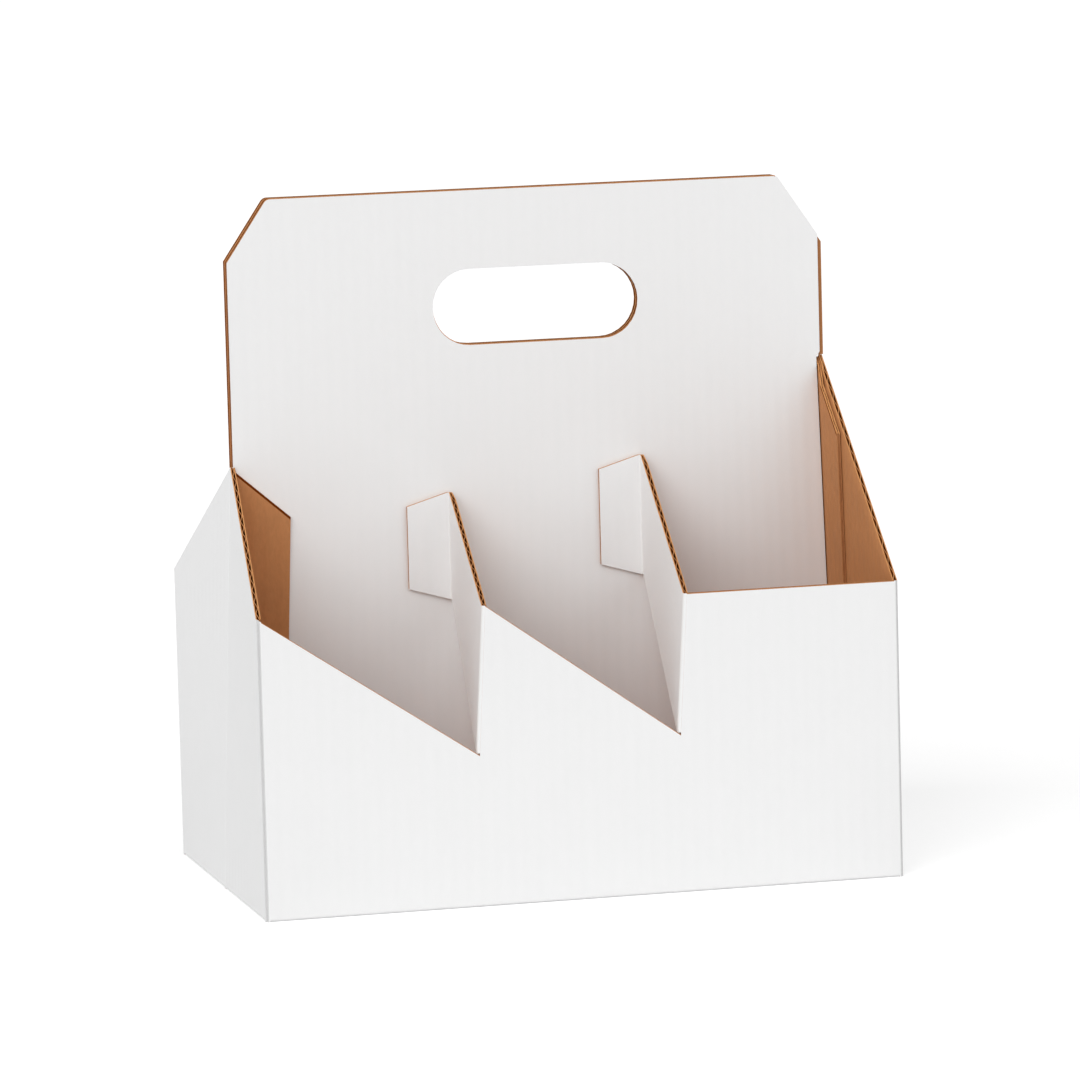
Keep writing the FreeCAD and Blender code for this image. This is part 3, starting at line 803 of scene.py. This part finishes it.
def paper_group():
    """Fibres, mottling and the faint washboard that the flutes press into a liner."""
    group = bpy.data.node_groups.new("paper", "ShaderNodeTree")
    for name, kind, value in (("Colour", "NodeSocketColor", (0.8, 0.8, 0.8, 1.0)),
                              ("Mottle", "NodeSocketFloat", 0.05),
                              ("Fibre", "NodeSocketFloat", 0.1),
                              ("Flute pitch", "NodeSocketFloat", 0.0059),
                              ("Washboard", "NodeSocketFloat", 0.1),
                              ("Roughness", "NodeSocketFloat", 0.7)):
        group.interface.new_socket(name, in_out="INPUT", socket_type=kind).default_value = value
    for name, kind in (("Colour", "NodeSocketColor"), ("Roughness", "NodeSocketFloat"),
                       ("Height", "NodeSocketFloat")):
        group.interface.new_socket(name, in_out="OUTPUT", socket_type=kind)
    make, link = group.nodes.new, group.links.new

    def math(operation, a, b=None, clamp=False):
        node = make("ShaderNodeMath")
        node.operation = operation
        node.use_clamp = clamp
        for socket, value in zip(node.inputs, (a, b)):
            if value is None:
                continue
            if isinstance(value, (int, float)):
                socket.default_value = value
            else:
                link(value, socket)
        return node.outputs[0]

    given = make("NodeGroupInput").outputs
    result = make("NodeGroupOutput")
    place = make("ShaderNodeTexCoord").outputs["Object"]
    cloud = make("ShaderNodeTexNoise")
    cloud.inputs["Scale"].default_value = 55.0
    cloud.inputs["Detail"].default_value = 5.0
    link(place, cloud.inputs["Vector"])
    strand = make("ShaderNodeTexNoise")
    strand.inputs["Scale"].default_value = 900.0
    strand.inputs["Detail"].default_value = 4.0
    strand.inputs["Roughness"].default_value = 0.65
    stretch = make("ShaderNodeMapping")
    stretch.inputs["Scale"].default_value = (1.0, 1.0, 0.35)
    link(place, stretch.inputs["Vector"])
    link(stretch.outputs[0], strand.inputs["Vector"])
    clouded = math("MULTIPLY", math("SUBTRACT", cloud.outputs["Fac"], 0.5), given["Mottle"])
    fibred = math("MULTIPLY", math("SUBTRACT", strand.outputs["Fac"], 0.5), given["Fibre"])
    shade = math("ADD", math("ADD", clouded, fibred), 1.0)
    tint = make("ShaderNodeVectorMath")
    tint.operation = "SCALE"
    link(given["Colour"], tint.inputs[0])
    link(shade, tint.inputs["Scale"])
    link(tint.outputs[0], result.inputs["Colour"])
    link(math("ADD", given["Roughness"], math("MULTIPLY", clouded, 1.5), clamp=True),
         result.inputs["Roughness"])
    split = make("ShaderNodeSeparateXYZ")
    link(make("ShaderNodeUVMap").outputs[0], split.inputs[0])
    turns = math("MULTIPLY", math("DIVIDE", split.outputs[0], given["Flute pitch"]), 2 * pi)
    wave = math("MULTIPLY", math("SINE", turns), given["Washboard"])
    link(math("ADD", wave, math("MULTIPLY", strand.outputs["Fac"], 0.25)),
         result.inputs["Height"])
    return group


def paper(name, group, colour, mottle, fibre, washboard, rough, sheen, bump, pitch):
    """A paper finish: the shared paper effect on a matte shader."""
    material = bpy.data.materials.new(name)
    material.use_nodes = True
    nodes, links = material.node_tree.nodes, material.node_tree.links
    shader = nodes["Principled BSDF"]
    shader.inputs["Specular IOR Level"].default_value = sheen
    effect = nodes.new("ShaderNodeGroup")
    effect.node_tree = group
    for socket, value in (("Colour", (*colour, 1.0)), ("Mottle", mottle), ("Fibre", fibre),
                          ("Flute pitch", pitch), ("Washboard", washboard),
                          ("Roughness", rough)):
        effect.inputs[socket].default_value = value
    relief = nodes.new("ShaderNodeBump")
    relief.inputs["Strength"].default_value = bump
    relief.inputs["Distance"].default_value = 0.0001
    links.new(effect.outputs["Colour"], shader.inputs["Base Color"])
    links.new(effect.outputs["Roughness"], shader.inputs["Roughness"])
    links.new(effect.outputs["Height"], relief.inputs["Height"])
    links.new(relief.outputs["Normal"], shader.inputs["Normal"])
    return material


def papers():
    """The five finishes of the board, made once."""
    scene = bpy.context.scene
    colours, pitch = scene.carrier_colours, scene.carrier_board.flute_pitch
    group = bpy.data.node_groups.get("paper") or paper_group()
    wanted = (("white liner", colours.white, 0.02, 0.02, 0.5, 0.62, 0.3, 0.5),
              ("brown liner", colours.brown, 0.22, 0.30, 0.8, 0.82, 0.3, 0.7),
              # partly the fluted sheet's own colour, partly painted shade for the cavities
              # between the liners
              ("fluting_and_shade", colours.flute, 0.20, 0.30, 0.0, 0.9, 0.0, 0.6),
              ("cut edge", colours.cut, 0.25, 0.40, 0.0, 0.9, 0.1, 0.8),
              # painted shade: grey strip along the corner folds
              ("creased liner", colours.painted_crease_shade, 0.05, 0.10, 0.0, 0.7, 0.3, 0.6))
    return [bpy.data.materials.get(name)
            or paper(name, group, tint, mottle, fibre, washboard, rough, sheen, bump, pitch)
            for name, tint, mottle, fibre, washboard, rough, sheen, bump in wanted]


# ---- operators ----

class CARRIER_OT_body(bpy.types.Operator):
    """Build the folded body: front ply, walls, bottom flaps and seam tab"""
    bl_idname = "carrier.body"
    bl_label = "Folded body"

    def execute(self, context):
        plan = BodyPlan(context.scene)
        mesh = SheetMesh()
        board_layers(mesh, plan.strip, plan.b, plan.b.pressed, plan.gap)
        piece = mesh.build("folded_body", papers())
        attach(piece, "root")
        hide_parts("carrier_body")
        return {"FINISHED"}


class CARRIER_OT_dividers(bpy.types.Operator):
    """Build the four dividers struck out of the long walls"""
    bl_idname = "carrier.dividers"
    bl_label = "Cell dividers"

    def execute(self, context):
        plan = BodyPlan(context.scene)
        mesh = SheetMesh()
        for make in plan.dividers():
            for turned in (False, True):
                board_layers(mesh, make, plan.b, plan.b.divider_edge, None, turned)
        piece = mesh.build("cell_dividers", papers())
        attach(piece, "root")
        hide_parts("carrier_body")
        return {"FINISHED"}


class CARRIER_OT_back_ply(bpy.types.Operator):
    """Build the second ply of the handle with its tab on the right wall"""
    bl_idname = "carrier.back_ply"
    bl_label = "Back ply"

    def execute(self, context):
        plan = BodyPlan(context.scene)
        mesh = SheetMesh()
        board_layers(mesh, plan.back_ply, plan.b, plan.b.pressed, plan.gap)
        piece = mesh.build("back_ply", papers())
        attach(piece, "root")
        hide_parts("handle_back_ply")
        return {"FINISHED"}


class CARRIER_OT_stage(bpy.types.Operator):
    """Build the floor, the lights and the camera"""
    bl_idname = "carrier.stage"
    bl_label = "Stage"

    def execute(self, context):
        scene = context.scene
        settings = scene.carrier_stage
        scene.view_settings.view_transform = "Standard"
        self.floor(settings)
        self.world(scene, settings)
        self.lamp("front_lamp", KEY_PLACE, settings.key, KEY_SPREAD)
        self.lamp("side_lamp", FILL_PLACE, settings.fill, FILL_SPREAD)
        self.camera(scene, settings)
        return {"FINISHED"}

    def floor(self, settings):
        (x0, y0), (x1, y1) = FLOOR_LOW, FLOOR_HIGH
        mesh = bpy.data.meshes.new("floor")
        mesh.from_pydata([(x0, y0, 0), (x1, y0, 0), (x1, y1, 0), (x0, y1, 0)], [],
                         [(0, 1, 2, 3)])
        material = bpy.data.materials.new("floor")
        material.use_nodes = True
        nodes, links = material.node_tree.nodes, material.node_tree.links
        shader = nodes["Principled BSDF"]
        shader.inputs["Base Color"].default_value = (*settings.floor, 1.0)
        shader.inputs["Roughness"].default_value = 0.9
        shader.inputs["Specular IOR Level"].default_value = 0.0
        path = nodes.new("ShaderNodeLightPath")
        shader.inputs["Emission Color"].default_value = (1, 1, 1, 1)
        strength = nodes.new("ShaderNodeMath")
        strength.operation = "MULTIPLY"
        strength.inputs[1].default_value = FLOOR_GLOW
        links.new(path.outputs["Is Camera Ray"], strength.inputs[0])
        links.new(strength.outputs[0], shader.inputs["Emission Strength"])
        mesh.materials.append(material)
        floor = bpy.data.objects.new("floor", mesh)
        bpy.context.scene.collection.objects.link(floor)

    def world(self, scene, settings):
        world = bpy.data.worlds.new("studio")
        scene.world = world
        world.use_nodes = True
        nodes, links = world.node_tree.nodes, world.node_tree.links
        background = nodes["Background"]
        background.inputs["Color"].default_value = (1, 1, 1, 1)
        path = nodes.new("ShaderNodeLightPath")
        seen = nodes.new("ShaderNodeMath")
        seen.operation = "MAXIMUM"
        either = nodes.new("ShaderNodeMath")
        either.operation = "MAXIMUM"
        links.new(path.outputs["Is Camera Ray"], seen.inputs[0])
        links.new(path.outputs["Is Glossy Ray"], seen.inputs[1])
        links.new(seen.outputs[0], either.inputs[0])
        links.new(path.outputs["Is Transmission Ray"], either.inputs[1])
        mix = nodes.new("ShaderNodeMix")
        mix.inputs["A"].default_value = settings.sky
        mix.inputs["B"].default_value = 1.0
        links.new(either.outputs[0], mix.inputs["Factor"])
        links.new(mix.outputs["Result"], background.inputs["Strength"])

    def lamp(self, name, place, strength, spread):
        data = bpy.data.lights.new(name, "SUN")
        data.energy = strength
        data.angle = spread
        lamp = bpy.data.objects.new(name, data)
        lamp.location = place
        lamp.rotation_euler = (-Vector(place)).to_track_quat("-Z", "Y").to_euler()
        bpy.context.scene.collection.objects.link(lamp)

    def camera(self, scene, settings):
        data = bpy.data.cameras.new("camera")
        data.sensor_width = SENSOR
        data.lens = settings.lens
        data.clip_end = FAR_CLIP
        forward = Vector((sin(settings.yaw) * cos(settings.pitch),
                          cos(settings.yaw) * cos(settings.pitch), -sin(settings.pitch)))
        camera = bpy.data.objects.new("camera", data)
        camera.location = Vector(AIM) - forward * settings.distance
        level = forward.to_track_quat("-Z", "Y")
        camera.rotation_mode = "QUATERNION"
        camera.rotation_quaternion = level @ Quaternion((0, 0, 1), settings.roll)
        scene.collection.objects.link(camera)
        scene.camera = camera


class CARRIER_PT_panel(bpy.types.Panel):
    """Sidebar panel that lists the build steps"""
    bl_idname = "CARRIER_PT_panel"
    bl_label = "Bottle carrier"
    bl_space_type = "VIEW_3D"
    bl_region_type = "UI"
    bl_category = "Carrier"

    def draw(self, context):
        for step in STEPS:
            self.layout.operator(step.bl_idname)


STEPS = (CARRIER_OT_body, CARRIER_OT_dividers, CARRIER_OT_back_ply, CARRIER_OT_stage)
GROUPS = {"carrier_board": CarrierBoardSettings, "carrier_body": CarrierBodySettings,
          "carrier_handle": CarrierHandleSettings, "carrier_colours": CarrierColourSettings,
          "carrier_stage": CarrierStageSettings}


def register():
    for name, group in GROUPS.items():
        bpy.utils.register_class(group)
        setattr(bpy.types.Scene, name, bpy.props.PointerProperty(type=group))
    for item in STEPS + (CARRIER_PT_panel,):
        bpy.utils.register_class(item)


def unregister():
    for item in (CARRIER_PT_panel,) + STEPS:
        bpy.utils.unregister_class(item)
    for name, group in GROUPS.items():
        delattr(bpy.types.Scene, name)
        bpy.utils.unregister_class(group)


def main():
    register()
    bpy.ops.carrier.body()
    bpy.ops.carrier.dividers()
    bpy.ops.carrier.back_ply()
    bpy.ops.carrier.stage()


if __name__ == "__main__":
    main()
